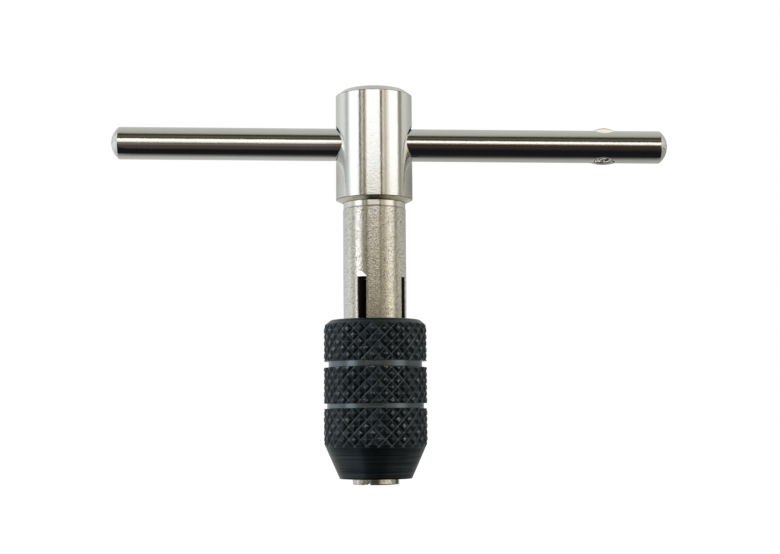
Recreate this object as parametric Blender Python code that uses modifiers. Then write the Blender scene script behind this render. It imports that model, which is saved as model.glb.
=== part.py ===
"""T-handle tap wrench: a turned spindle whose lower end is slit into four collet fingers, a grooved
chuck nut around them, and a sliding bar held in the head by a spring-loaded ball.

Frame: metres, +Z up along the spindle towards the head, origin at the centre of the head's flat top.
The bar lies along X. The fingers hang down in -Z and are shown partly closed.
"""

import math

import bmesh
import bpy
from mathutils import Matrix, Vector

# Lengths below are in millimetres and angles in radians, unless noted.
MM = 0.001
STEPS = 64                   # round a turned part

# ---- spindle ----
TOOL_LENGTH = 84.45          # head top to finger tips
HEAD_R = 8.24
HEAD_CHAMFER_R = 1.60        # the head's top chamfer, across and down
HEAD_CHAMFER_Z = 1.15
HEAD_BOTTOM_Z = -23.6        # where the cone under the head starts
SHOULDER_Z = -24.45          # where it ends
NECK_R = 6.66                # short relief right under the head
NECK_Z = -25.85
NECK_STEP_HEIGHT = 0.09
SHANK_R = 6.75
BORE_R = 4.10                # clearance bore behind the jaws
BORE_TOP_Z = -37.0
BORE_POINT_HALF_ANGLE = math.radians(59.0)  # of the cone that ends the bore
CROSS_HOLE_R = 3.85
CROSS_HOLE_Z = -11.53
CROSS_CUTTER_LENGTH = 30

# ---- sliding bar ----
BAR_R = 3.50
BAR_LENGTH = 120.2
BAR_LEFT = -56.65            # left (-X) end, measured from the spindle axis
BAR_Z = -11.68
BAR_TILT = math.radians(0.69)  # the +X end hangs this much in the loose hole
BAR_STEPS = 48
BAR_DOME_R = 4.40
DOME_SEGMENTS = 5            # from the bar's axis to its rim
EAR_X = 49.9                 # centre of the two ears
EAR_LENGTH = 4.9
EAR_HALF_HEIGHT = 1.2
EAR_HALF_WIDTH = 1.35
EARS = (("top", 1, 0.70), ("bottom", -1, 0.50))  # name, side, rise above the bar

# ---- detent ----
DETENT_BORE_R = 1.70
DETENT_BORE_BOTTOM_Z = CROSS_HOLE_Z + 1.5
PLUG_R = 2.20
PLUG_GAP = 0.05
PLUG_THICKNESS = 1.80
BALL_R = 1.50
BALL_GAP = 0.06              # between the ball and the bar
BALL_Z = BAR_Z + BAR_R + BALL_R + BALL_GAP
SPRING_R = 1.15
SPRING_WIRE_R = 0.20
SPRING_TURNS = 4
SPRING_POINTS_PER_TURN = 14
SPRING_BALL_GAP = 0.12
SPRING_PLUG_GAP = 0.10

# ---- collet fingers; radii are in the relaxed state ----
FINGER_COUNT = 4
SLOT_WIDTH = 1.89
SLOT_TOP_Z = -40.7
ROOT_GAP = 0.30              # the flexing root is left open by this much
FIRST_FINGER_DEGREES = 20.0  # centre of the first finger, from the front (-Y) towards +X
HINGE_R = 5.40               # middle of the finger's wall at its root
FINGER_CLOSED = 0.0112       # each finger is closed by this angle
TIP_R = 5.31
TIP_CHAMFER = 0.30
NOSE_R = 6.59                # at the top of the closing taper
TAPER = math.radians(15.0)
TAPER_BOTTOM_Z = -81.6
TAPER_TOP_Z = TAPER_BOTTOM_Z + (NOSE_R - TIP_R) / math.tan(TAPER)
NOSE_BAND_HEIGHT = 0.45      # plain band above the taper
NOSE_SHOULDER_HEIGHT = 0.45  # slope above that band
THREAD_R = 7.00              # the thread is a plain band
THREAD_TOP_Z = -54.85
THREAD_BOTTOM_Z = -67.0
THREAD_LEAD_IN = 0.25
THREAD_DEPTH = 0.55          # down to the relief below the thread, on a 45 degree slope
JAW_HALF = 2.55              # half the distance across the jaw flats
JAW_STOCK = 0.35             # turned inside the flats, then cut away by the pads
JAW_TOP_Z = -73.0
JAW_SLOPE_HEIGHT = 1.0
WEDGE_SIDE = 16.0
WEDGE_HEIGHT = 60
WEDGE_Z = -62.0
PAD_SIZE = (6.0, 8.0, 20.0)
PAD_ABOVE_JAW = 1.5          # how far the pad cutter reaches above the jaws

# ---- chuck nut and friction ring ----
NUT_TOP_Z = -49.7
NUT_BOTTOM_Z = -83.2
NUT_R = 10.95                # of the middle band
NUT_BAND_STEP = 0.04         # the upper band is this much smaller, the lower this much larger
NUT_TOP_FACE_R = 9.55
NUT_SHOULDER_INSET = 0.24    # the rounded top edge, at its middle point
NUT_SHOULDER_DROP = 0.96
NUT_EDGE_DROP = 1.65         # where the rounded top edge ends
NUT_NOSE_R = 7.58
NUT_CONE_TOP_Z = -75.5       # of the outer cone
NUT_BORE_R = 7.20
NUT_BORE_CHAMFER = 0.40
NUT_RELIEF_R = NUT_BORE_R + 0.70  # wider bore between the thread and the inner cone
RELIEF_ABOVE_CONE = 0.45
RELIEF_BELOW_THREAD = 1.50
BORE_BELOW_THREAD = 0.80
NUT_NOSE_BORE_R = 5.54
NUT_CONE_BOTTOM_Z = -80.10   # of the inner cone
NUT_CONE_RISE = 1.67         # how far the inner cone widens
GROOVE_1 = (-58.42, -59.78, 9.98)   # top, bottom, radius
GROOVE_2 = (-67.37, -68.48, 10.30)
GROOVE_WALL_SLOPE = 0.05
RING_GROOVE = (-51.0, -52.3, 8.0)
RING_R = 7.35
RING_SECTION_R = 0.50

MATERIALS = {
    "satin_nickel": dict(colour=(0.72, 0.70, 0.66), roughness=0.32, metallic=1.0),
    "polished_bar": dict(colour=(0.74, 0.73, 0.71), roughness=0.12, metallic=1.0),
    "black_oxide": dict(colour=(0.022, 0.025, 0.028), roughness=0.38, metallic=0.6),
    "ball_steel": dict(colour=(0.66, 0.66, 0.67), roughness=0.08, metallic=1.0),
    "spring_steel": dict(colour=(0.42, 0.42, 0.43), roughness=0.30, metallic=1.0),
    "plug_steel": dict(colour=(0.70, 0.69, 0.66), roughness=0.28, metallic=1.0),
    "black_rubber": dict(colour=(0.02, 0.02, 0.02), roughness=0.75, metallic=0.0),
}


# ---- helpers ----
def clear_scene():
    for obj in list(bpy.data.objects):
        bpy.data.objects.remove(obj, do_unlink=True)


def make_collection(name):
    made = bpy.data.collections.new(name)
    bpy.context.scene.collection.children.link(made)
    return made


def make_material(name, colour, roughness, metallic):
    made = bpy.data.materials.new(name)
    made.use_nodes = True
    shader = made.node_tree.nodes["Principled BSDF"]
    shader.inputs["Base Color"].default_value = (*colour, 1.0)
    shader.inputs["Roughness"].default_value = roughness
    shader.inputs["Metallic"].default_value = metallic
    return made


def add_object(name, data, where, mat=None):
    obj = bpy.data.objects.new(name, data)
    where.objects.link(obj)
    if mat is not None:
        data.materials.append(mat)
    return obj


def adopt_active(name, where):
    """Name the primitive just added and move it to a collection."""
    obj = bpy.context.object
    obj.name = name
    for old in list(obj.users_collection):
        old.objects.unlink(obj)
    where.objects.link(obj)
    return obj


def as_cutter(obj):
    obj.hide_render = True
    obj.display_type = "WIRE"
    return obj


def smooth(obj, degrees):
    obj.data.shade_smooth()
    obj.data.set_sharp_from_angle(angle=math.radians(degrees))


def shape_mesh(name, create, **options):
    """A mesh from one of bmesh's create operators."""
    mesh = bpy.data.meshes.new(name)
    bm = bmesh.new()
    create(bm, **options)
    bm.to_mesh(mesh)
    bm.free()
    return mesh


def box_mesh(name, centre, size, turn=0.0):
    """A box in millimetres, turned about its own vertical axis."""
    matrix = (
        Matrix.Translation(Vector(centre) * MM)
        @ Matrix.Rotation(turn, 4, "Z")
        @ Matrix.Diagonal((*(length * MM for length in size), 1.0))
    )
    return shape_mesh(name, bmesh.ops.create_cube, size=1.0, matrix=matrix)


def profile_mesh(name, points, mat, closed=False):
    """An edge-only mesh in the XZ plane, from (radius, z) points in millimetres."""
    mesh = bpy.data.meshes.new(name)
    edges = [(i, i + 1) for i in range(len(points) - 1)]
    if closed:
        edges.append((len(points) - 1, 0))
    mesh.from_pydata([(x * MM, 0.0, z * MM) for x, z in points], edges, [])
    mesh.materials.append(mat)
    return mesh


def turned(name, profile, where, steps=STEPS):
    """A solid turned about Z from a profile mesh."""
    obj = add_object(name, profile, where)
    screw = obj.modifiers.new("turn", "SCREW")
    screw.axis = "Z"
    screw.angle = 2 * math.pi
    screw.steps = screw.render_steps = steps
    screw.use_merge_vertices = True
    screw.merge_threshold = 0.00001
    screw.use_smooth_shade = True
    return obj


def boolean(obj, cutter, operation):
    cut = obj.modifiers.new(cutter.name, "BOOLEAN")
    cut.operation = operation
    cut.object = cutter
    cut.solver = "EXACT"


# ---- spindle ----
def make_spindle(parts, cutters, mat):
    root_z = SLOT_TOP_Z + ROOT_GAP / 2
    plug_seat_r = PLUG_R + PLUG_GAP
    plug_seat_z = -PLUG_THICKNESS - PLUG_GAP
    # From the detent bore over the head, down the outside and back up the lower bore.
    points = [
        (0.0, DETENT_BORE_BOTTOM_Z),
        (DETENT_BORE_R, DETENT_BORE_BOTTOM_Z),
        (DETENT_BORE_R, plug_seat_z),
        (plug_seat_r, plug_seat_z),
        (plug_seat_r, 0.0),
        (HEAD_R - HEAD_CHAMFER_R, 0.0),
        (HEAD_R, -HEAD_CHAMFER_Z),
        (HEAD_R, HEAD_BOTTOM_Z),
        (NECK_R, SHOULDER_Z),
        (NECK_R, NECK_Z + NECK_STEP_HEIGHT),
        (SHANK_R, NECK_Z),
        (SHANK_R, root_z),
        (BORE_R, root_z),
        (BORE_R, BORE_TOP_Z),
        (0.0, BORE_TOP_Z + BORE_R / math.tan(BORE_POINT_HALF_ANGLE)),
    ]
    spindle = turned("spindle_body", profile_mesh("spindle_body", points, mat), parts)
    bpy.ops.mesh.primitive_cylinder_add(
        vertices=48,
        radius=CROSS_HOLE_R * MM,
        depth=CROSS_CUTTER_LENGTH * MM,
        location=(0, 0, CROSS_HOLE_Z * MM),
        rotation=(0, math.pi / 2, 0),
    )
    hole = as_cutter(adopt_active("cross_hole_cutter", cutters))
    boolean(spindle, hole, "DIFFERENCE")


# ---- collet fingers ----
def finger_profile():
    """The fingers' wall as a closed loop: down the outside, up the inside."""
    tip_z = -TOOL_LENGTH
    root_z = SLOT_TOP_Z - ROOT_GAP / 2
    relief_r = THREAD_R - THREAD_DEPTH
    nose_top_z = TAPER_TOP_Z + NOSE_BAND_HEIGHT
    jaw_r = JAW_HALF - JAW_STOCK
    return [
        (SHANK_R, root_z),
        (SHANK_R, THREAD_TOP_Z + THREAD_LEAD_IN),
        (THREAD_R, THREAD_TOP_Z),
        (THREAD_R, THREAD_BOTTOM_Z),
        (relief_r, THREAD_BOTTOM_Z - THREAD_DEPTH),
        (relief_r, nose_top_z + NOSE_SHOULDER_HEIGHT),
        (NOSE_R, nose_top_z),
        (NOSE_R, TAPER_TOP_Z),
        (TIP_R, TAPER_BOTTOM_Z),
        (TIP_R, tip_z + TIP_CHAMFER),
        (TIP_R - TIP_CHAMFER, tip_z),
        (jaw_r, tip_z),
        (jaw_r, JAW_TOP_Z),
        (BORE_R, JAW_TOP_Z + JAW_SLOPE_HEIGHT),
        (BORE_R, root_z),
    ]


def make_fingers(parts, cutters, mat):
    """Each finger hangs from an empty on its flexing root.

    In the finger's frame +X points out from the spindle axis.
    """
    ring = profile_mesh("collet_profile", finger_profile(), mat, closed=True)

    # What is left between two slots: a square prism with one corner towards the axis.
    wedge_mesh = box_mesh(
        "finger_wedge",
        centre=((SLOT_WIDTH + WEDGE_SIDE) / math.sqrt(2), 0, WEDGE_Z),
        size=(WEDGE_SIDE, WEDGE_SIDE, WEDGE_HEIGHT),
        turn=math.radians(45),
    )
    # Cuts the flat that bears on one side of the tap's square.
    pad_mesh = box_mesh(
        "jaw_pad",
        centre=(JAW_HALF - PAD_SIZE[0] / 2, 0, JAW_TOP_Z + PAD_ABOVE_JAW - PAD_SIZE[2] / 2),
        size=PAD_SIZE,
    )

    for i in range(FINGER_COUNT):
        turn = math.radians(FIRST_FINGER_DEGREES - 90.0 + 360.0 / FINGER_COUNT * i)
        hinge = add_object(f"finger_{i + 1}_root", None, parts)
        hinge.empty_display_size = 3 * MM
        hinge.matrix_world = (
            Matrix.Rotation(turn, 4, "Z")
            @ Matrix.Translation((HINGE_R * MM, 0, SLOT_TOP_Z * MM))
            @ Matrix.Rotation(FINGER_CLOSED, 4, "Y")
        )
        name = f"collet_finger_{i + 1}"
        finger = turned(name, ring, parts)
        wedge = as_cutter(add_object(f"{name}_slots", wedge_mesh, cutters))
        pad = as_cutter(add_object(f"{name}_pad_cutter", pad_mesh, cutters))
        for obj in (finger, wedge, pad):
            obj.parent = hinge
            obj.location = (-HINGE_R * MM, 0, -SLOT_TOP_Z * MM)
        boolean(finger, wedge, "INTERSECT")
        boolean(finger, pad, "DIFFERENCE")


# ---- chuck nut and its friction ring ----
def nut_groove(groove, upper_r, lower_r):
    """An outer groove between two bands of the nut, top to bottom."""
    top, bottom, radius = groove
    return [
        (upper_r, top),
        (radius, top - GROOVE_WALL_SLOPE),
        (radius, bottom + GROOVE_WALL_SLOPE),
        (lower_r, bottom),
    ]


def make_nut(parts, mat):
    upper_r = NUT_R - NUT_BAND_STEP
    lower_r = NUT_R + NUT_BAND_STEP
    cone_top_r = NUT_NOSE_BORE_R + NUT_CONE_RISE
    cone_top_z = NUT_CONE_BOTTOM_Z + NUT_CONE_RISE / math.tan(TAPER)
    ring_top, ring_bottom, ring_groove_r = RING_GROOVE
    outside = [
        (NUT_TOP_FACE_R, NUT_TOP_Z),
        (NUT_R - NUT_SHOULDER_INSET, NUT_TOP_Z - NUT_SHOULDER_DROP),
        (upper_r, NUT_TOP_Z - NUT_EDGE_DROP),
        *nut_groove(GROOVE_1, upper_r, NUT_R),
        *nut_groove(GROOVE_2, NUT_R, lower_r),
        (lower_r, NUT_CONE_TOP_Z),
        (NUT_NOSE_R, NUT_BOTTOM_Z),
    ]
    inside = [
        (NUT_NOSE_BORE_R, NUT_BOTTOM_Z),
        (NUT_NOSE_BORE_R, NUT_CONE_BOTTOM_Z),
        (cone_top_r, cone_top_z),
        (NUT_RELIEF_R, cone_top_z + RELIEF_ABOVE_CONE),
        (NUT_RELIEF_R, THREAD_BOTTOM_Z - RELIEF_BELOW_THREAD),
        (NUT_BORE_R, THREAD_BOTTOM_Z - BORE_BELOW_THREAD),
        (NUT_BORE_R, ring_bottom),
        (ring_groove_r, ring_bottom),
        (ring_groove_r, ring_top),
        (NUT_BORE_R, ring_top),
        (NUT_BORE_R, NUT_TOP_Z - NUT_BORE_CHAMFER),
        (NUT_BORE_R + NUT_BORE_CHAMFER, NUT_TOP_Z),
    ]
    turned("chuck_nut", profile_mesh("chuck_nut", outside + inside, mat, closed=True), parts)


def make_friction_ring(parts, mat):
    top, bottom, _ = RING_GROOVE
    bpy.ops.mesh.primitive_torus_add(
        major_radius=RING_R * MM,
        minor_radius=RING_SECTION_R * MM,
        major_segments=48,
        minor_segments=12,
        location=(0, 0, (top + bottom) / 2 * MM),
    )
    ring = adopt_active("nut_friction_ring", parts)
    ring.data.materials.append(mat)
    smooth(ring, degrees=60)


# ---- sliding bar ----
def dome(end, inward):
    """A domed bar end from axis to rim; inward is the sign of the way into the bar."""
    rim_angle = math.asin(BAR_R / BAR_DOME_R)
    angles = [rim_angle * i / DOME_SEGMENTS for i in range(DOME_SEGMENTS + 1)]
    return [
        (BAR_DOME_R * math.sin(angle), end + inward * BAR_DOME_R * (1 - math.cos(angle)))
        for angle in angles
    ]


def make_bar(parts, cutters, mat):
    """The bar is turned about its own axis, then laid along X.

    Its origin is where it crosses the spindle axis.
    """
    points = dome(BAR_LEFT + BAR_LENGTH, -1) + dome(BAR_LEFT, 1)[::-1]
    bar = turned("t_bar", profile_mesh("t_bar", points, mat), parts, steps=BAR_STEPS)
    to_x = Matrix.Rotation(math.pi / 2 + BAR_TILT, 4, "Y")
    bar.matrix_world = Matrix.Translation((0, 0, BAR_Z * MM)) @ to_x

    ear_half_size = Vector((EAR_HALF_HEIGHT, EAR_HALF_WIDTH, EAR_LENGTH / 2)) * MM
    for name, side, rise in EARS:
        mesh = shape_mesh(
            f"ear_{name}", bmesh.ops.create_uvsphere, u_segments=20, v_segments=12, radius=1.0
        )
        mesh.transform(Matrix.Diagonal((*ear_half_size, 1.0)))
        ear = as_cutter(add_object(f"ear_{name}_form", mesh, cutters))
        # In the bar's frame the top of the bar is at -X.
        ear.matrix_world = bar.matrix_world @ Matrix.Translation(
            (-side * (BAR_R + rise - EAR_HALF_HEIGHT) * MM, 0, EAR_X * MM)
        )
        boolean(bar, ear, "UNION")


# ---- detent ----
def make_ball(parts, mat):
    mesh = shape_mesh(
        "detent_ball",
        bmesh.ops.create_uvsphere,
        u_segments=24,
        v_segments=14,
        radius=BALL_R * MM,
    )
    ball = add_object("detent_ball", mesh, parts, mat)
    ball.location = (0, 0, BALL_Z * MM)
    smooth(ball, degrees=60)


def make_plug(parts, mat):
    """The plug closes the detent bore, flush with the head's top."""
    mesh = shape_mesh(
        "detent_plug",
        bmesh.ops.create_cone,
        cap_ends=True,
        segments=STEPS,
        radius1=PLUG_R * MM,
        radius2=PLUG_R * MM,
        depth=PLUG_THICKNESS * MM,
    )
    plug = add_object("detent_plug", mesh, parts, mat)
    plug.location = (0, 0, -PLUG_THICKNESS / 2 * MM)
    smooth(plug, degrees=30)


def make_spring(parts, mat):
    """A helix from just above its contact circle on the ball to just below the plug."""
    contact_z = BALL_Z + math.sqrt(BALL_R**2 - SPRING_R**2)
    low = contact_z + SPRING_WIRE_R + SPRING_BALL_GAP
    high = -PLUG_THICKNESS - SPRING_WIRE_R - SPRING_PLUG_GAP
    curve = bpy.data.curves.new("detent_spring", "CURVE")
    curve.dimensions = "3D"
    curve.bevel_depth = SPRING_WIRE_R * MM
    curve.bevel_resolution = 2
    curve.use_fill_caps = True
    line = curve.splines.new("POLY")
    segments = SPRING_TURNS * SPRING_POINTS_PER_TURN
    line.points.add(segments)  # a new spline already has one point
    for i, point in enumerate(line.points):
        turn = 2 * math.pi * SPRING_TURNS * i / segments
        point.co = (
            SPRING_R * MM * math.cos(turn),
            SPRING_R * MM * math.sin(turn),
            (low + (high - low) * i / segments) * MM,
            1.0,
        )
    add_object("detent_spring", curve, parts, mat)


def main():
    clear_scene()
    parts = make_collection("tap_wrench")
    cutters = make_collection("cutters")
    mats = {name: make_material(name, **look) for name, look in MATERIALS.items()}
    make_spindle(parts, cutters, mats["satin_nickel"])
    make_fingers(parts, cutters, mats["satin_nickel"])
    make_nut(parts, mats["black_oxide"])
    make_friction_ring(parts, mats["black_rubber"])
    make_bar(parts, cutters, mats["polished_bar"])
    make_ball(parts, mats["ball_steel"])
    make_spring(parts, mats["spring_steel"])
    make_plug(parts, mats["plug_steel"])


main()
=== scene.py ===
"""A T-handle tap wrench: spindle with a four-finger collet, knurled chuck nut and sliding bar.

The spindle stands along Z with its top face at z = 0 and its fingertips lowest. The bar crosses
its head along X, and the camera looks along +Y. Sizes are in millimetres unless a comment says
otherwise; the meshes are stored in metres.
"""

import math

import bmesh
import bpy
import numpy as np
from mathutils import Matrix, Vector


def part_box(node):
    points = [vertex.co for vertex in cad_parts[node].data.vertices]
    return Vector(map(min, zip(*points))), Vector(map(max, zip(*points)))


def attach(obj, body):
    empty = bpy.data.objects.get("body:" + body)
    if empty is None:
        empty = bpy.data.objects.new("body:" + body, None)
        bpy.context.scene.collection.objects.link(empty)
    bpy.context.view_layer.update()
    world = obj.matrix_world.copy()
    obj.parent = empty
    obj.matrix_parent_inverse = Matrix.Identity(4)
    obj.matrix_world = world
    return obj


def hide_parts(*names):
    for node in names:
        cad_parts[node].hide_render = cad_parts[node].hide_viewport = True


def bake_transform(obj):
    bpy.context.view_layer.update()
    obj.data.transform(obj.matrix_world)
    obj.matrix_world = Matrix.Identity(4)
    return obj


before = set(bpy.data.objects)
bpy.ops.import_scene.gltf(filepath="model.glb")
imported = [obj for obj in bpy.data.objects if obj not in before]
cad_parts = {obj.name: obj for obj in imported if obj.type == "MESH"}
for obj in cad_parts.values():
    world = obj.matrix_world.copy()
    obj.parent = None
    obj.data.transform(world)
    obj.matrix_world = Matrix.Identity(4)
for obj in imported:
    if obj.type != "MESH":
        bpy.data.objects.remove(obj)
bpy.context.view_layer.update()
MM = 0.001  # metres in a millimetre
FULL_TURN = 2 * math.pi


def mm_box(piece):
    low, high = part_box(piece)
    return np.array(low) / MM, np.array(high) / MM


nut_low, nut_high = mm_box("chuck_nut")
plug_low, plug_high = mm_box("detent_plug")
ball_low, ball_high = mm_box("detent_ball")
spring_low, spring_high = mm_box("detent_spring")
ring_low, ring_high = mm_box("nut_friction_ring")

# Spindle
HEAD_R = mm_box("spindle_body")[1][0]
HEAD_CHAMFER_R, HEAD_CHAMFER_Z = 1.60, 1.15  # across and down
HEAD_BOTTOM = -23.70
SHOULDER = -24.47  # lower end of the cone under the head
NECK_R, NECK_BOTTOM = 6.66, -25.85
NECK_GROOVE_DEPTH = 0.07
SHANK_R, BORE_R = 6.75, 4.10
BORE_TOP = -37.0
BORE_POINT_ANGLE = math.radians(59)  # half angle of the bore's pointed end
HOLE_R, HOLE_Z = 3.85, -11.53  # cross hole for the bar
DETENT_BORE_R, DETENT_BORE_END = 1.70, HOLE_Z + 1.2
PLUG_CLEARANCE = 0.04

# Collet fingers
SLOT_TOP, SLOT_WIDTH = -40.7, 1.89
BEND_R = 5.40  # radius of the line each finger bends about
BEND_END = -60.0  # below this the finger is turned but no longer bent
REST_BEND = 0.0112  # radians, inward
TIP_Z = mm_box("collet_finger_1")[0][2]
TIP_R, NOSE_R = 5.31, 6.59
TAPER = math.radians(15.0)
TAPER_Z = -81.6  # lower end of the taper
NOSE_Z = TAPER_Z + (NOSE_R - TIP_R) / math.tan(TAPER)
THREAD_R, THREAD_TOP, THREAD_BOTTOM, PITCH = 7.00, -54.85, -67.0, 1.25
THREAD_DEPTH = 0.62
THREAD_LEAD = 0.3  # the thread starts this far above its nominal top
THREAD_ROOT_R = THREAD_R - THREAD_DEPTH
JAW_HALF, JAW_TOP = 2.55, -73.0

# Sliding bar
BAR_R, BAR_Z = 3.50, -11.68
BAR_TILT = math.radians(0.69)
BAR_LEFT, BAR_LENGTH = -56.65, 120.2
DOME_R = 4.40
EAR_X = 49.75

# Chuck nut. A groove is (top, bottom, radius).
NUT_TOP, NUT_BOTTOM = nut_high[2], nut_low[2]
NUT_R, NUT_NOSE_R = 10.95, 7.58
CONE_TOP = -75.5
UPPER_GROOVE = (-58.42, -59.78, 9.98)
LOWER_GROOVE = (-67.37, -68.48, 10.30)
KNURLS = 25
KNURL_HEIGHT, KNURL_DEPTH = 2.70, 0.38


# ------------------------------------------------------------------------------------------
# Mesh helpers
# ------------------------------------------------------------------------------------------
def link(obj):
    bpy.context.scene.collection.objects.link(obj)
    return obj


def fix_normals(mesh, merge=None):
    """Turns all faces outward, after merging vertices closer than merge (metres) if given."""
    work = bmesh.new()
    work.from_mesh(mesh)
    if merge:
        bmesh.ops.remove_doubles(work, verts=work.verts, dist=merge)
    bmesh.ops.recalc_face_normals(work, faces=work.faces)
    work.to_mesh(mesh)
    work.free()


def shade(mesh, sharp):
    """Smooth shading, with edges steeper than sharp degrees kept hard."""
    mesh.shade_smooth()
    mesh.set_sharp_from_angle(angle=math.radians(sharp))


def make(name, verts, faces, material=None, sharp=30.0):
    mesh = bpy.data.meshes.new(name)
    mesh.from_pydata((np.asarray(verts, float) * MM).tolist(), [], faces)
    mesh.update()
    fix_normals(mesh)
    if material:
        mesh.materials.append(material)
    shade(mesh, sharp)
    return link(bpy.data.objects.new(name, mesh))


def assign(obj, rides, replaces):
    """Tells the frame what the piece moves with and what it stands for."""
    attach(obj, rides)
    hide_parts(replaces)


def fillet(points, count=5):
    """Rounds the corners of a profile given as (radius, z, corner radius)."""
    guard = 0.03  # extra point on the straight beside each rounded corner
    out = []
    for i, (x, z, corner_r) in enumerate(points):
        if corner_r <= 0 or i in (0, len(points) - 1):
            out.append((x, z))
            continue
        corner = np.array((x, z))
        back = np.array(points[i - 1][:2]) - corner
        ahead = np.array(points[i + 1][:2]) - corner
        back_length, ahead_length = np.linalg.norm(back), np.linalg.norm(ahead)
        back, ahead = back / back_length, ahead / ahead_length
        half = math.acos(max(-1, min(1, back @ ahead))) / 2
        back_room, ahead_room = 0.45 * back_length, 0.45 * ahead_length
        reach = min(corner_r / math.tan(half), back_room, ahead_room)
        if reach + guard < back_room:
            out.append(tuple(corner + back * (reach + guard)))
        for k in range(count):
            s = k / (count - 1)
            out.append(tuple(corner + back * reach * (1 - s) ** 2 + ahead * reach * s**2))
        if reach + guard < ahead_room:
            out.append(tuple(corner + ahead * (reach + guard)))
    return out


def subdivide(profile, step, low, high):
    """Splits the long segments of a profile between two heights."""
    out = [profile[0]]
    for start, end in zip(profile, profile[1:]):
        inside = min(start[1], end[1]) < high and max(start[1], end[1]) > low
        parts = max(1, math.ceil(math.dist(start, end) / step)) if inside else 1
        for k in range(1, parts + 1):
            s = k / parts
            out.append((start[0] + (end[0] - start[0]) * s, start[1] + (end[1] - start[1]) * s))
    return out


def revolve(profile, segments, closed=False):
    """Turns a profile about Z. Points that lie on the axis become poles."""
    verts, rings = [], []
    for radius, z in profile:
        count = 1 if radius < 1e-6 else segments
        rings.append(range(len(verts), len(verts) + count))
        if count == 1:
            verts.append((0, 0, z))
            continue
        for j in range(segments):
            angle = FULL_TURN * j / segments
            verts.append((radius * math.cos(angle), radius * math.sin(angle), z))
    faces = []
    pairs = list(zip(rings, rings[1:]))
    if closed:
        pairs.append((rings[-1], rings[0]))
    for upper, lower in pairs:
        for j in range(segments):
            k = (j + 1) % segments
            if len(upper) == 1:
                faces.append((upper[0], lower[j], lower[k]))
            elif len(lower) == 1:
                faces.append((upper[j], lower[0], upper[k]))
            else:
                faces.append((upper[j], lower[j], lower[k], upper[k]))
    return verts, faces


def grid(rows, closed_rows=False, caps=False, split=None):
    """Faces for rows of equal length, each a closed loop.

    split, if given, says per quad which diagonal to cut.
    """
    rows = np.asarray(rows, float)
    row_count, count = rows.shape[:2]
    faces = []
    for i in range(row_count if closed_rows else row_count - 1):
        below = (i + 1) % row_count * count
        for j in range(count):
            k = (j + 1) % count
            quad = (i * count + j, below + j, below + k, i * count + k)
            if split is None:
                faces.append(quad)
            elif split[i][j]:
                faces += [quad[:3], (quad[0], quad[2], quad[3])]
            else:
                faces += [(quad[0], quad[1], quad[3]), quad[1:]]
    if caps:
        faces.append(tuple(range(count)))
        faces.append(tuple((row_count - 1) * count + j for j in reversed(range(count))))
    return rows.reshape(-1, 3), faces


class RingRows:
    """Rings of a mesh, with one value per vertex for each named attribute."""

    def __init__(self, count, names):
        self.count = count
        self.rows = []
        self.values = {name: [] for name in names}

    def add(self, x, y, z, **values):
        self.rows.append(np.stack([np.broadcast_to(part, self.count) for part in (x, y, z)], 1))
        for name, rings in self.values.items():
            rings.append(np.broadcast_to(values.get(name, 0.0), self.count))

    def store(self, mesh, poles=0):
        """Writes the attributes. Pole vertices come last and get 0."""
        for name, rings in self.values.items():
            layer = mesh.attributes.new(name, "FLOAT", "POINT")
            flat = np.concatenate([np.array(rings).ravel(), np.zeros(poles)])
            layer.data.foreach_set("value", flat.astype(np.float32))


def bake(obj):
    """Applies the object's modifiers."""
    bpy.context.view_layer.update()
    graph = bpy.context.evaluated_depsgraph_get()
    mesh = bpy.data.meshes.new_from_object(obj.evaluated_get(graph), depsgraph=graph)
    obj.modifiers.clear()
    old = obj.data
    obj.data = mesh
    bpy.data.meshes.remove(old)


def weight_normals(obj):
    modifier = obj.modifiers.new("normals", "WEIGHTED_NORMAL")
    modifier.mode = "FACE_AREA"
    modifier.weight = 50
    modifier.keep_sharp = True


def smoothstep(x):
    x = np.clip(x, 0, 1)
    return x * x * (3 - 2 * x)


# ------------------------------------------------------------------------------------------
# Shader node helpers
# ------------------------------------------------------------------------------------------
class Signal:
    """An output socket that takes arithmetic: every operation adds a math node."""

    def __init__(self, tree, socket):
        self.tree = tree
        self.socket = socket

    def __add__(self, other):
        return calc("ADD", self, other)

    def __radd__(self, other):
        return calc("ADD", other, self)

    def __sub__(self, other):
        return calc("SUBTRACT", self, other)

    def __rsub__(self, other):
        return calc("SUBTRACT", other, self)

    def __mul__(self, other):
        return calc("MULTIPLY", self, other)

    def __truediv__(self, other):
        return calc("DIVIDE", self, other)

    def __abs__(self):
        return calc("ABSOLUTE", self)


def add_node(tree, kind, inputs, **props):
    """Adds a node and fills its inputs, given by index or name, with signals or values."""
    node = tree.nodes.new(kind)
    for key, value in props.items():
        setattr(node, key, value)
    for key, value in inputs.items():
        socket = node.inputs[key]
        if isinstance(value, Signal):
            tree.links.new(value.socket, socket)
        elif socket.type == "RGBA":
            socket.default_value = (*value, 1.0)
        else:
            socket.default_value = value
    return node


def wire(tree, kind, inputs, output=0, **props):
    """Adds a node and returns one of its outputs."""
    return Signal(tree, add_node(tree, kind, inputs, **props).outputs[output])


def coordinates(tree, output):
    return wire(tree, "ShaderNodeTexCoord", {}, output)


def components(vector):
    node = add_node(vector.tree, "ShaderNodeSeparateXYZ", {0: vector})
    return [Signal(vector.tree, socket) for socket in node.outputs]


def scaled(vector, factor):
    inputs = {0: vector, "Scale": factor}
    return wire(vector.tree, "ShaderNodeVectorMath", inputs, operation="SCALE")


def calc(operation, first, second=0.0, clamp=False):
    tree = (first if isinstance(first, Signal) else second).tree
    inputs = {0: first, 1: second}
    return wire(tree, "ShaderNodeMath", inputs, operation=operation, use_clamp=clamp)


def larger(first, second):
    return calc("MAXIMUM", first, second)


def root(value):
    return calc("SQRT", value)


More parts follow.
